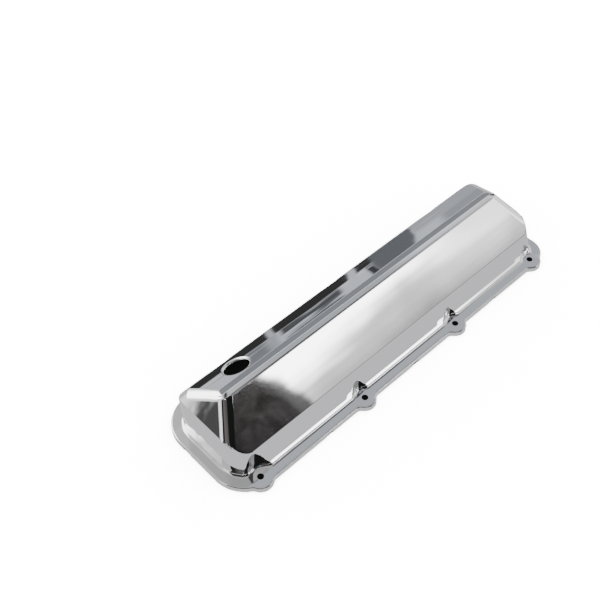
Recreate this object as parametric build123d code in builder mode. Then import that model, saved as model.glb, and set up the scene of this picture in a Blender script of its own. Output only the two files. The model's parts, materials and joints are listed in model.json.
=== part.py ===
from build123d import *
import os
from math import cos, hypot, radians, sin, tan

# Frame: x along the cover, +y the side with the three bolts, z up. The origin is the middle
# of the footprint, ears included, at the lower edge of the lip.
LENGTH = 544.0          # over the flange
WIDTH = 154.0           # over the straight flange edges, without the ears
CORNER = (45.0, 27.0)   # plan radius of the flange corners, and of the one by the last ear
SHEET = 1.2             # steel thickness
LIP = 8.0               # height of the lip turned down round the flange
# Narrow flats stand for the small bends from the wall to the flange and from it to the lip.
ROOT_CUT, LIP_CUT = 2.9, 1.8

# Ears: hole along the cover as a share of the length, hole in from the flange edge, ear radius.
EARS = [(-0.4313, 11.2, 15.8), (-0.1379, 5.0, 14.2), (0.1594, 5.0, 14.2), (0.4412, 8.4, 15.2)]
# The wall is pressed in behind each ear by a cone: its axis in from the flange edge, its root
# radius, its draft in degrees, and the rounding of its edge with the wall.
SCOOPS = [(6.5, 17.0, 1.5, 8.0), (6.5, 11.0, 8.0, 14.0), (6.5, 11.0, 8.0, 14.0), (1.4, 17.0, 6.0, 4.0)]
NECK_R = 7.0            # blend between an ear and the flange edge
# The other side has its bolts in pockets: shares of the length, and one cone for all.
BOLTS = [-0.3445, -0.0151, 0.3219]
BOLT_IN, POCKET_R, POCKET_DRAFT = 11.5, 10.8, 5.9
HOLE_R = 4.0

OVERHANG = max(r - d for _, d, r in EARS)
FLANGE_Y = OVERHANG / 2
EDGE_EAR, EDGE_BOLT = FLANGE_Y - WIDTH / 2, FLANGE_Y + WIDTH / 2

# The raised body: width of the flange round its foot, and the draft of each wall in degrees.
SHELF_END, SHELF_EAR, SHELF_BOLT = 13.0, 12.9, 14.1
DRAFT_END, DRAFT_EAR, DRAFT_BOLT = 5.5, 20.0, 3.7
FORM_H = 96.0           # height at which the walls would end if the roof didn't cut them
FOOT_R, TOP_R = (36.0, 20.0), 5.0   # plan radii of its corners, the last ear's one tighter

# Roof profile as y, z over the ridge and down to the crease of the hole panel.
ROOF = [(-2.9, 91.0), (4.2, 90.6), (13.0, 88.3), (51.5, 66.9)]
SLOPE_EAR, SLOPE_STRIP = 48.4, 57.0
# The roof slopes down at each end, from the end wall's top edge.
FACET_IN, FACET_Z, SLOPE_FACET = 18.3, 58.9, 53.2
HIP_R, FLANK_R, FOLD_R = 16.0, 6.0, 4.0

# Breather hole in the hole panel, with its edge turned in.
BREATHER_R = 15.5
BREATHER_X, BREATHER_Y = -0.3406, 30.7
COLLAR = 5.0            # depth of the turned-in edge under the panel's outer face
TURN_R = 3.0            # rounding of the turned-in edge

# Drain notches in the lip: shares of the length on the long sides, y on the ends.
NOTCH_W, NOTCH_H = 11.0, 4.5
NOTCH_EAR, NOTCH_BOLT = (-0.2537, 0.014, 0.2849), (-0.1873, 0.1482)
NOTCH_END = {-1: 23.4, 1: 12.8}


def rise(deg, run):
    return tan(radians(deg)) * run


def plan(z, inset):
    """Half length, y of both walls and corner radii of the body at height z."""
    h = z - LIP
    x = LENGTH / 2 - SHELF_END - rise(DRAFT_END, h) - inset
    y0 = EDGE_EAR + SHELF_EAR + rise(DRAFT_EAR, h) + inset / cos(radians(DRAFT_EAR))
    y1 = EDGE_BOLT - SHELF_BOLT - rise(DRAFT_BOLT, h) - inset
    radii = [max(r + (TOP_R - r) * h / (FORM_H - LIP) - inset, 0.5) for r in FOOT_R]
    return x, y0, y1, radii


def rounded(x, y0, y1, radii):
    """Rectangle with rounded corners, the one by the last ear with a radius of its own."""
    with BuildSketch() as outline:
        with Locations((0, (y0 + y1) / 2)):
            Rectangle(2 * x, y1 - y0)
        fillet(outline.vertices().sort_by(lambda v: v.X - v.Y)[-1], radii[1])
        fillet(outline.vertices().filter_by(lambda v: v.X < 0 or v.Y > (y0 + y1) / 2), radii[0])
    return outline.sketch


def folds(form, low):
    """Edges that reach above the height and at which the surface turns by more than a seam does."""
    pairs = {}
    for face in form.faces():
        for edge in face.edges():
            pairs.setdefault(edge, []).append(face)
    found = ShapeList()
    for edge, pair in pairs.items():
        m = edge.position_at(0.5)
        if (len(pair) == 2 and edge.bounding_box().max.Z > low
                and pair[0].normal_at(m).get_angle(pair[1].normal_at(m)) > 8):
            found.append(edge)
    return found


def pressing(inset):
    """The outer form of the cover, or its inner form when inset is the sheet thickness."""
    base = LIP - inset
    with BuildPart() as form:
        for z in (base, FORM_H):
            with BuildSketch(Plane.XY.offset(z)):
                add(rounded(*plan(z, inset)))
        loft(ruled=True)
        # The roof, as one profile along x, then the two end facets, as one profile along y.
        (ya, za), (yc, zc) = ROOF[0], ROOF[-1]
        with BuildSketch(Plane.YZ):
            with BuildLine():
                Polyline((-WIDTH, -WIDTH), (-WIDTH, za - rise(SLOPE_EAR, ya + WIDTH)), *ROOF,
                         (WIDTH, zc - rise(SLOPE_STRIP, WIDTH - yc)), (WIDTH, -WIDTH), close=True)
            make_face()
            if inset:
                offset(amount=-inset, kind=Kind.INTERSECTION)
        extrude(amount=LENGTH / 2, both=True, mode=Mode.INTERSECT)
        xf = LENGTH / 2 - FACET_IN - inset / sin(radians(SLOPE_FACET))
        top = xf - (FORM_H - FACET_Z) / rise(SLOPE_FACET, 1)
        foot = xf + (FORM_H + FACET_Z) / rise(SLOPE_FACET, 1)
        with BuildSketch(Plane.XZ):
            with BuildLine():
                Polyline((-foot, -FORM_H), (-top, FORM_H), (top, FORM_H), (foot, -FORM_H), close=True)
            make_face()
        extrude(amount=WIDTH, both=True, mode=Mode.INTERSECT)
        hips = form.edges().filter_by(GeomType.LINE).filter_by(
            lambda e: e.length < 60 and min(abs(v.X) for v in e.vertices()) > top + 5
            and e.center().Z > FORM_H / 2)
        fillet(hips, HIP_R - inset)

        cones = [(s * LENGTH, EDGE_EAR + y, r, d) for (s, _, _), (y, r, d, _) in zip(EARS, SCOOPS)]
        cones += [(s * LENGTH, EDGE_BOLT - BOLT_IN, POCKET_R, POCKET_DRAFT) for s in BOLTS]
        for x, y, r, draft in cones:
            with Locations((x, y, 0)):
                r0 = r + inset - rise(draft, LIP)
                Cone(r0, r0 + rise(draft, FORM_H), FORM_H,
                     align=(Align.CENTER, Align.CENTER, Align.MIN), mode=Mode.SUBTRACT)
        for (s, _, _), (_, _, _, size) in zip(EARS, SCOOPS):
            arch = folds(form, 2 * LIP).filter_by(
                lambda e: e.bounding_box().min.Z < base + 0.1 and e.center().Y < 0
                and abs(e.center().X - s * LENGTH) < FOOT_R[0])
            fillet(arch, size - inset)
        flanks = folds(form, 2 * LIP).filter_by(
            lambda e: e.bounding_box().min.Z < base + 0.1 and e.center().Y > 0)
        fillet(flanks, FLANK_R - inset)
        if not inset:
            fillet(folds(form, LIP + 1), FOLD_R)

        bottom = -SHEET if inset else 0
        with BuildSketch(Plane.XY.offset(bottom)) as flange:
            add(rounded(LENGTH / 2 - inset, EDGE_EAR + inset, EDGE_BOLT - inset,
                        [r - inset for r in CORNER]))
            for s, d, r in EARS:
                with Locations((s * LENGTH, EDGE_EAR + d)):
                    Circle(r - inset)
            necks = flange.vertices().filter_by(lambda v: any(
                abs(hypot(v.X - s * LENGTH, v.Y - EDGE_EAR - d) - r + inset) < 0.01
                for s, d, r in EARS))
            fillet(necks, NECK_R + inset)
        extrude(amount=base - bottom)
        apart = inset * (2 - 2 ** 0.5)      # keeps the two forms' flats a sheet thickness apart
        for size, outer in ((ROOT_CUT + apart, False), (LIP_CUT - apart, True)):
            deck = form.faces().filter_by(lambda f: abs(f.center().Z - base) < 0.01)[0]
            rim = deck.outer_wire() if outer else deck.inner_wires()[0]
            chamfer(rim.edges(), size)
    return form.part


outside = pressing(0)
inside = pressing(SHEET)

with BuildPart() as valve_cover:
    add(outside)
    add(inside, mode=Mode.SUBTRACT)

    with Locations(*[(s * LENGTH, EDGE_EAR + d, LIP) for s, d, _ in EARS],
                   *[(s * LENGTH, EDGE_BOLT - BOLT_IN, LIP) for s in BOLTS]):
        Cylinder(HOLE_R, 4 * SHEET, mode=Mode.SUBTRACT)

    # The panel's tilt follows from the two roof points that it runs between.
    (ya, za), (yb, zb) = ROOF[-2:]
    run = hypot(yb - ya, zb - za)
    normal = (0, (za - zb) / run, (yb - ya) / run)
    spot = (BREATHER_X * LENGTH, BREATHER_Y, za + (zb - za) * (BREATHER_Y - ya) / (yb - ya))
    panel = Plane(spot, x_dir=(1, 0, 0), z_dir=normal)
    with BuildSketch(panel.offset(-COLLAR)):
        Circle(BREATHER_R + SHEET)
    extrude(amount=COLLAR - SHEET / 2)
    with BuildSketch(panel.offset(-2 * COLLAR)):
        Circle(BREATHER_R)
    extrude(amount=3 * COLLAR, mode=Mode.SUBTRACT)
    rims = valve_cover.edges().filter_by(GeomType.CIRCLE).filter_by(
        lambda e: abs(panel.to_local_coords(e.arc_center).Z) < 0.01
        and abs(e.radius - BREATHER_R) < 0.01)
    fillet(rims, TURN_R)

    with Locations(*[(s * LENGTH, EDGE_EAR, 0) for s in NOTCH_EAR],
                   *[(s * LENGTH, EDGE_BOLT, 0) for s in NOTCH_BOLT]):
        Box(NOTCH_W, 6 * SHEET, 2 * NOTCH_H, mode=Mode.SUBTRACT)
    with Locations(*[(end * LENGTH / 2, y, 0) for end, y in NOTCH_END.items()]):
        Box(6 * SHEET, NOTCH_W, 2 * NOTCH_H, mode=Mode.SUBTRACT)

os.makedirs("parts", exist_ok=True)
valve_cover.part.label = "valve_cover"
export_step(valve_cover.part, "parts/valve_cover.step")
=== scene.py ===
import json
from math import cos, radians, sin

import bpy
from mathutils import Euler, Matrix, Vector


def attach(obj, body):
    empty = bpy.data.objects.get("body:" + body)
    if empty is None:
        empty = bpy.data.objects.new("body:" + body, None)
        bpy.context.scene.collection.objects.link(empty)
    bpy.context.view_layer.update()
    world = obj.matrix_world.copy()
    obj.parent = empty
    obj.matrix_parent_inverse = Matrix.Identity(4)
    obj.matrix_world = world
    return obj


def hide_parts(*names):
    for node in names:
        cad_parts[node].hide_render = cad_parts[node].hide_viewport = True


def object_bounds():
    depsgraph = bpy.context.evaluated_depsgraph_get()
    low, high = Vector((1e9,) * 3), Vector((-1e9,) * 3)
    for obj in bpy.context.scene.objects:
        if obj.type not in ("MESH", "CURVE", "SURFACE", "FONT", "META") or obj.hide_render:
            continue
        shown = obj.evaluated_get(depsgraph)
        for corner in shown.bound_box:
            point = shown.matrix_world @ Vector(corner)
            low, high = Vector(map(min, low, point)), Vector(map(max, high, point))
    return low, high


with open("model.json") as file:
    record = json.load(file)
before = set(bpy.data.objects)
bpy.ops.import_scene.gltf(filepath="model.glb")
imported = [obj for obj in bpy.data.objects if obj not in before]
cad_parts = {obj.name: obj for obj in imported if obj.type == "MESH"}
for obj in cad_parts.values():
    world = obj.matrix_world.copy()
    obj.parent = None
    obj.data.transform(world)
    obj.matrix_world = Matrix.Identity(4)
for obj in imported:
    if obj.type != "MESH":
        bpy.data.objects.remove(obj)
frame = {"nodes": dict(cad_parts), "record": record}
cad_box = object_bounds()

# The cover's own sizes, in metres.
SHEET = 0.0012              # steel thickness
FLANGE_WIDTH = 0.154        # over the straight flange edges, without the ears

# The fold between the long sloping panel and each end slope: the tilt of both planes and a point
# on each, then the radius of the fold.
PANEL_TILT, PANEL_POINT = radians(48.4), Vector((0, -0.0029, 0.0910))
END_TILT, END_X, END_Z = radians(53.2), 0.2537, 0.0589
HIP_R, HIP_STEPS = 0.016, 8
HIP_FROM_X, HIP_FROM_Z = 0.19, 0.035    # the fold lies beyond this x and above this z
FACING = 0.5                            # its faces look along its middle by at least this cosine
OUTER_SKIN, BOTH_SKINS = 0.0009, 0.0016     # depths under a plane that take in one skin or both

# The sheet of painted shade under the cover, and its round spots of painted shade under the ears.
PAINTED_SHADE_Z, PAINTED_SHADE_CORNER, EAR_SHADE_SPOT_R = 0.0003, 0.0446, 0.0115

# Camera at the photograph's viewing angle, in metres and degrees.
camera_data = bpy.data.cameras.new("camera")
camera_data.lens = 57.765
camera_data.sensor_width = 36.0
camera = bpy.data.objects.new("camera", camera_data)
camera.location = (-0.563364, -0.497191, 0.950085)
camera.rotation_euler = Euler([radians(a) for a in (40.315895, 0.938558, -43.247375)])
bpy.context.scene.collection.objects.link(camera)
bpy.context.scene.camera = camera


class Nodes:
    """Short ways to add nodes to one material."""

    def __init__(self, name):
        self.mat = bpy.data.materials.new(name)
        self.mat.use_nodes = True
        self.tree = self.mat.node_tree

    def put(self, socket, value):
        """Links the value to the socket if it comes from a node, and sets it there otherwise."""
        if isinstance(value, bpy.types.NodeSocket):
            self.tree.links.new(value, socket)
        else:
            socket.default_value = value

    def add(self, kind, **sockets):
        """A socket is given by its name, with _ for a space, or by i and its number."""
        node = self.tree.nodes.new(kind)
        for key, value in sockets.items():
            place = int(key[1:]) if key[1:].isdigit() else key.replace("_", " ")
            self.put(node.inputs[place], value)
        return node

    def math(self, operation, a, b=0.0):
        node = self.add("ShaderNodeMath", i0=a, i1=b)
        node.operation = operation
        return node.outputs[0]

    def step(self, value, start, end):
        """Rises smoothly from 0 to 1 as the value goes from start to end."""
        node = self.add("ShaderNodeMapRange", Value=value, From_Min=start, From_Max=end)
        node.interpolation_type = "SMOOTHSTEP"
        return node.outputs[0]

    def window(self, value, low, high, soft):
        """1 between low and high, with soft edges."""
        rising = self.step(value, low - soft, low + soft)
        falling = self.step(value, high - soft, high + soft)
        return self.math("MULTIPLY", rising, self.math("SUBTRACT", 1.0, falling))

    def blend(self, below, above, mask):
        """The colour below with the one above laid over it, as far as the mask says."""
        node = self.tree.nodes.new("ShaderNodeMix")
        node.data_type = "RGBA"
        self.put(node.inputs["Factor"], mask)
        for side, colour in (("A", below), ("B", above)):
            made = isinstance(colour, bpy.types.NodeSocket)
            self.put(node.inputs[side], colour if made else (*colour, 1))
        return node.outputs["Result"]


def chrome(name):
    """Bright chrome plate: a little haze and grain from polishing, faint smudges, slight relief."""
    haze_low, haze_high, grain_share = 0.018, 0.045, 0.012
    cold, bright = (0.80, 0.80, 0.815), (0.84, 0.84, 0.845)
    n = Nodes(name)
    shader = n.tree.nodes["Principled BSDF"]
    shader.inputs["Metallic"].default_value = 1.0
    place = n.tree.nodes.new("ShaderNodeTexCoord").outputs["Object"]
    smudge = n.add("ShaderNodeTexNoise", Vector=place, Scale=9.0, Detail=4.0, Roughness=0.6)
    grain = n.add("ShaderNodeTexNoise", Vector=place, Scale=900.0, Detail=2.0)
    haze = n.add("ShaderNodeMapRange", Value=smudge.outputs["Fac"], From_Min=0.35, From_Max=0.7,
                 To_Min=haze_low, To_Max=haze_high)
    rough = n.math("ADD", haze.outputs[0], n.math("MULTIPLY", grain.outputs["Fac"], grain_share))
    n.put(shader.inputs["Roughness"], rough)
    n.put(shader.inputs["Base Color"], n.blend(cold, bright, smudge.outputs["Fac"]))

    # Heights in metres: slight waves all over, long streaks from the press, which grow from the
    # long panel to the other side of the ridge, and a roll of the panel with the breather hole,
    # down towards its outer edge.
    wave_height = 0.00022
    streak_low, streak_high = 0.00012, 0.0009
    roll_from, roll_width, roll = 0.018, 0.034, 0.8
    wave = n.add("ShaderNodeTexNoise", Vector=place, Scale=14.0, Detail=1.0)
    along = n.add("ShaderNodeMapping", Vector=place, Scale=(2.2, 30.0, 30.0))
    streak = n.add("ShaderNodeTexNoise", Vector=along.outputs[0], Scale=1.0, Detail=1.5)
    y = n.add("ShaderNodeSeparateXYZ", Vector=place).outputs["Y"]
    streak_height = n.add("ShaderNodeMapRange", Value=y, From_Min=0.004, From_Max=0.016,
                          To_Min=streak_low, To_Max=streak_high)
    past = n.math("MAXIMUM", n.math("SUBTRACT", y, roll_from), 0.0)
    past = n.math("MINIMUM", past, roll_width)
    even = n.math("SUBTRACT", streak.outputs["Fac"], 0.5)
    relief = n.math("MULTIPLY", wave.outputs["Fac"], wave_height)
    relief = n.math("ADD", relief, n.math("MULTIPLY", even, streak_height.outputs[0]))
    relief = n.math("SUBTRACT", relief, n.math("MULTIPLY", n.math("MULTIPLY", past, past), roll))
    bump = n.add("ShaderNodeBump", Height=relief, Strength=1.0, Distance=1.0)
    n.put(shader.inputs["Normal"], bump.outputs[0])
    return n.mat


def glowing(name, shade):
    """A material that gives off one even colour."""
    n = Nodes(name)
    n.tree.nodes.clear()
    glow = n.add("ShaderNodeEmission", Color=(*shade, 1))
    n.add("ShaderNodeOutputMaterial", Surface=glow.outputs[0])
    return n.mat


def roll_hip(thing, end):
    """Rounds the fold between the long panel and one end slope to the wide radius of the pressing."""
    panel = Vector((0, -sin(PANEL_TILT), cos(PANEL_TILT)))
    slope = Vector((end * sin(END_TILT), 0, cos(END_TILT)))
    top, foot = panel.dot(PANEL_POINT), slope.dot(Vector((end * END_X, 0, END_Z)))
    turn = panel.dot(slope)
    share = 1 - turn * turn

    def split(a, b):
        """Weights of the two normals that give the distances a and b along them."""
        return (a - turn * b) / share, (b - turn * a) / share

    # Cuts through the fold's axis, so that its faces are narrow enough to follow the round.
    along = panel.cross(slope).normalized()
    middle = (panel + slope).normalized()
    u, v = split(top - HIP_R, foot - HIP_R)
    centre = u * panel + v * slope
    for i in range(HIP_STEPS + 1):
        ray = panel.slerp(slope, i / HIP_STEPS)
        for face in thing.data.polygons:
            reach = max(thing.data.vertices[k].co.x * end for k in face.vertices)
            face.select = (abs(face.normal.dot(middle)) > FACING and face.center.z > HIP_FROM_Z
                           and reach > HIP_FROM_X)
        bpy.ops.object.mode_set(mode="EDIT")
        bpy.ops.mesh.bisect(plane_co=centre, plane_no=along.cross(ray))
        bpy.ops.mesh.select_all(action="DESELECT")
        bpy.ops.object.mode_set(mode="OBJECT")

    # What stands out of the round comes in to it: the outer skin, and the inner one a sheet deeper.
    for vertex in thing.data.vertices:
        a, b = top - panel.dot(vertex.co), foot - slope.dot(vertex.co)
        if vertex.co.x * end < HIP_FROM_X or min(a, b) > BOTH_SKINS:
            continue
        u, v = split(HIP_R - a, HIP_R - b)
        radius = HIP_R if min(a, b) < OUTER_SKIN else HIP_R - SHEET
        off = u * panel + v * slope
        if u > 0 and v > 0 and off.length > radius:
            vertex.co -= off * (1 - radius / off.length)


# The cover is seen as a merged copy of its node, with each flat shaded flat and each bend smooth.
bpy.ops.object.select_all(action="DESELECT")
node = frame["nodes"]["valve_cover"]
cover = node.copy()
cover.data = node.data.copy()
cover.name = "cover_shell"
cover.parent = None
bpy.context.scene.collection.objects.link(cover)
for key in list(cover.keys()):
    if key.startswith("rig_"):
        del cover[key]
cover.select_set(True)
bpy.context.view_layer.objects.active = cover
bpy.ops.mesh.customdata_custom_splitnormals_clear()
bpy.ops.object.mode_set(mode="EDIT")
bpy.ops.mesh.select_all(action="SELECT")
bpy.ops.mesh.remove_doubles(threshold=0.00002)
bpy.ops.mesh.dissolve_limited(angle_limit=radians(0.3))
bpy.ops.mesh.select_mode(type="FACE")
bpy.ops.mesh.select_all(action="DESELECT")
bpy.ops.object.mode_set(mode="OBJECT")
for end in (-1, 1):
    roll_hip(cover, end)
bpy.ops.object.mode_set(mode="EDIT")
bpy.ops.mesh.select_all(action="SELECT")
bpy.ops.mesh.normals_make_consistent(inside=False)
bpy.ops.object.mode_set(mode="OBJECT")
bpy.ops.object.shade_smooth_by_angle(angle=radians(55))
weighted = cover.modifiers.new("even", "WEIGHTED_NORMAL")
weighted.weight = 100
weighted.keep_sharp = True
bpy.ops.object.modifier_apply(modifier="even")
cover.data.materials.clear()
cover.data.materials.append(chrome("chrome_plate"))
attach(cover, "root")
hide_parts("valve_cover")


def only_reflected(thing):
    """A stage piece that shows in the chrome and nowhere else."""
    for kind in ("camera", "diffuse", "transmission", "volume_scatter", "shadow"):
        setattr(thing, "visible_" + kind, False)


def flat(name, size, place, material):
    """A flat rectangle, with its size and place in its mesh."""
    bpy.ops.mesh.primitive_plane_add(size=1, location=place)
    thing = bpy.context.object
    thing.name = name
    bpy.ops.transform.resize(value=(*size, 1))
    bpy.ops.object.transform_apply(location=True, rotation=True, scale=True)
    thing.data.materials.append(material)
    return thing


# Floor: plain white paper, and a plainer one that only the chrome sees.
bpy.ops.object.select_all(action="DESELECT")
paper = Nodes("paper")
paper.tree.nodes["Principled BSDF"].inputs["Base Color"].default_value = (0.9, 0.9, 0.9, 1)
paper.tree.nodes["Principled BSDF"].inputs["Roughness"].default_value = 0.9
floor = flat("floor", (12, 12), (0, 0, 0), paper.mat)
floor.visible_glossy = False
low = flat("floor_in_chrome", (1.6, 0.9), (0, -0.05, 0), glowing("floor_light", (0.8, 0.8, 0.82)))
only_reflected(low)

# Painted shade under the cover, inside its lip: a near-black glowing sheet for the shadow that the
# bolt holes and the notches show.
reach_x, reach_y = cad_box[1][0], cad_box[1][1]
painted_shade_size = (2 * reach_x - SHEET, FLANGE_WIDTH - SHEET)
painted_shade_place = (0, reach_y - FLANGE_WIDTH / 2, PAINTED_SHADE_Z)
# A near-black glowing sheet: painted shade where the cover's own shadow falls on the floor.
painted_shade_sheet = flat("painted_shade_under_cover", painted_shade_size, painted_shade_place, glowing("painted_shade_black", (0.006, 0.006, 0.006)))
bpy.ops.object.mode_set(mode="EDIT")
bpy.ops.mesh.select_all(action="SELECT")
bpy.ops.mesh.bevel(offset=PAINTED_SHADE_CORNER, affect="VERTICES", segments=12)
# Round spots of painted shade under the ear holes as well.
for mount in frame["record"]["mounts"]:
    if mount["name"].startswith("ear_hole"):
        spot = (*mount["pos_m"][:2], PAINTED_SHADE_Z)
        bpy.ops.mesh.primitive_circle_add(radius=EAR_SHADE_SPOT_R, fill_type="NGON", location=spot)
bpy.ops.object.mode_set(mode="OBJECT")

# Studio around the cover, as the chrome sees it: soft fields by azimuth and elevation in degrees.
# It is large, so that all of the cover sees each field at the same angle.
bpy.ops.object.select_all(action="DESELECT")
bpy.ops.mesh.primitive_uv_sphere_add(radius=50, segments=64, ring_count=32)
dome = bpy.context.object
dome.name = "studio_dome"
sky = Nodes("studio_light")
sky.tree.nodes.clear()
unit = sky.add("ShaderNodeVectorMath", i0=sky.tree.nodes.new("ShaderNodeTexCoord").outputs["Object"])
unit.operation = "NORMALIZE"
axes = sky.add("ShaderNodeSeparateXYZ", Vector=unit.outputs[0])
azimuth = sky.math("DEGREES", sky.math("ARCTAN2", axes.outputs["Y"], axes.outputs["X"]))
elevation = sky.math("DEGREES", sky.math("ARCSINE", axes.outputs["Z"]))

# Away from the fields the light falls evenly from the horizon up.
level = sky.add("ShaderNodeMapRange", Value=elevation, From_Min=0.0, From_Max=70.0,
                To_Min=1.6, To_Max=0.5).outputs[0]
shade = sky.add("ShaderNodeCombineXYZ", X=level, Y=level, Z=level).outputs[0]


def field(below, colour, across, up, height):
    """One soft field over the light below: across and up give its start, end and softness."""
    mask = sky.math("MULTIPLY", sky.window(azimuth, *across), sky.window(height, *up))
    return sky.blend(below, colour, mask)


# Each field: level, colour, across and up. A later one covers an earlier one.
WHITE, COOL = (1, 1, 1), (0.93, 0.98, 1.06)
FIELDS = [
    # What the ridge and the flange mirror.
    (0.35, WHITE, (-90, -30, 6.0), (24, 58, 3.0)),
    (0.07, WHITE, (-50, 25, 4.0), (56, 76, 2.5)),
    (0.58, COOL, (22, 58, 5.0), (40, 68, 4.0)),
    (1.60, COOL, (40, 80, 6.0), (33, 42, 2.0)),
    (0.30, COOL, (40, 84, 3.0), (22, 30, 2.0)),
    (1.20, COOL, (40, 84, 3.0), (15, 20, 1.5)),
    (0.05, COOL, (40, 84, 3.0), (9.5, 13.5, 1.0)),
    # What the panel with the breather hole mirrors, low on the side of the bolts.
    (0.04, WHITE, (15, 100, 3.0), (-60, -1.6, 0.5)),
    (0.75, COOL, (46, 77, 2.0), (-1.6, 7, 0.6)),
    (0.40, COOL, (46, 54.5, 0.5), (-1.6, 6, 0.8)),
    (0.50, COOL, (40, 56.6, 0.3), (-12, -1.0, 1.2)),
    (0.16, COOL, (56.6, 59.4, 0.15), (-14, 3.5, 0.6)),
    (0.75, COOL, (60.6, 61.1, 0.1), (-5, 4, 0.8)),
    (0.60, COOL, (66.7, 67.2, 0.15), (-7, 3, 0.8)),
    (0.04, COOL, (59.4, 60.0, 0.1), (-1.6, 5.0, 0.5)),
    (0.10, COOL, (62.0, 66.4, 0.3), (-1.6, 1.4, 0.5)),
    (0.25, COOL, (67.2, 69.6, 0.8), (-1.6, 3, 0.8)),
    # What the near end mirrors: a large soft light, a dark gap and a narrow light.
    (6.50, WHITE, (88, 134, 9.0), (8, 48, 7.0)),
    (0.085, WHITE, (149.3, 160, 3.0), (-20, 12, 4.0)),
    (1.80, WHITE, (164, 176, 2.0), (-6, 40, 3.0)),
]
for glow, tint, across, up in FIELDS:
    shade = field(shade, [glow * c for c in tint], across, up, elevation)

# Key light over the long sloping panel, between darker fields. Heights that lean dip towards the
# far end, by a share of the azimuth past where the dip starts.
DIP_FROM, DIP = -57.0, 0.35
lean = sky.math("MULTIPLY", sky.math("MAXIMUM", sky.math("SUBTRACT", azimuth, DIP_FROM), 0.0), DIP)
leaning = sky.math("ADD", elevation, lean)
PANEL_SIDE = (-78, -36, 2.0)
KEY = [
    (0.56, PANEL_SIDE, (-2, 17.6, 1.2), leaning),
    (0.05, PANEL_SIDE, (-2, 11.5, 1.5), elevation),
    (8.5, PANEL_SIDE, (19.4, 27, 1.0), leaning),
    (2.6, (-54.5, -30, 3.5), (18.8, 30, 1.4), leaning),
    (0.9, (-54.5, -46, 2.0), (13, 16.2, 1.6), elevation),
]
for glow, across, up, height in KEY:
    shade = field(shade, (glow,) * 3, across, up, height)

# The rounded end of the room's dark side, as the long panel mirrors it: grey at its rim, with dark
# cloth inside. Its outline is a rounded square in azimuth and elevation.
END_FROM, END_WIDE, END_HIGH, END_POWER = -84.0, 17.8, 22.8, 12.0
RIM, CLOTH_LOW, CLOTH_HIGH, CLOTH_WARM = 0.16, 0.03, 0.085, 1.08
wide = sky.math("DIVIDE", sky.math("SUBTRACT", azimuth, END_FROM), END_WIDE)
high = sky.math("DIVIDE", elevation, END_HIGH)
edge = sky.math("ADD", sky.math("POWER", sky.math("MAXIMUM", wide, 0.0), END_POWER),
                sky.math("POWER", sky.math("MAXIMUM", high, 0.0), END_POWER))
inside = sky.math("MULTIPLY", sky.math("SUBTRACT", 1.0, sky.step(edge, 0.85, 1.2)),
                  sky.step(azimuth, -86.0, -80.0))
deep = sky.math("MULTIPLY", inside, sky.math("SUBTRACT", 1.0, sky.step(azimuth, -67.7, -67.0)))
fold = sky.add("ShaderNodeTexNoise", Vector=unit.outputs[0], Scale=45.0, Detail=2.0, Distortion=2.5)
grey = sky.add("ShaderNodeMapRange", Value=fold.outputs["Fac"], From_Min=0.38, From_Max=0.66,
               To_Min=CLOTH_LOW, To_Max=CLOTH_HIGH).outputs[0]
warm = sky.math("MULTIPLY", grey, CLOTH_WARM)
cloth = sky.add("ShaderNodeCombineXYZ", X=warm, Y=grey, Z=grey).outputs[0]
shade = sky.blend(shade, (RIM,) * 3, inside)
shade = sky.blend(shade, cloth, deep)

# The dark side itself, where the camera stands, with a dim wide light high up and two small lamps.
DARK_SIDE = [
    ((0.013, 0.013, 0.013), (-180, -71.6, 0.4), (-90, 60, 3.0)),
    ((0.19, 0.175, 0.17), (-168, -122, 12.0), (31, 43, 7.0)),
    ((9, 9, 9), (-118, -114, 0.5), (7, 11, 0.5)),
    ((0.8, 2.2, 4.0), (-105.6, -102.4, 0.5), (10.4, 13.6, 0.5)),
]
for glow, across, up in DARK_SIDE:
    shade = field(shade, glow, across, up, elevation)
light = sky.add("ShaderNodeEmission", Color=shade)
sky.add("ShaderNodeOutputMaterial", Surface=light.outputs[0])
dome.data.materials.append(sky.mat)
only_reflected(dome)

# Even white light that the floor and the camera see.
world = bpy.data.worlds.new("studio")
bpy.context.scene.world = world
world.use_nodes = True
world.node_tree.nodes["Background"].inputs["Color"].default_value = (1, 1, 1, 1)
world.node_tree.nodes["Background"].inputs["Strength"].default_value = 19
world.cycles_visibility.glossy = False
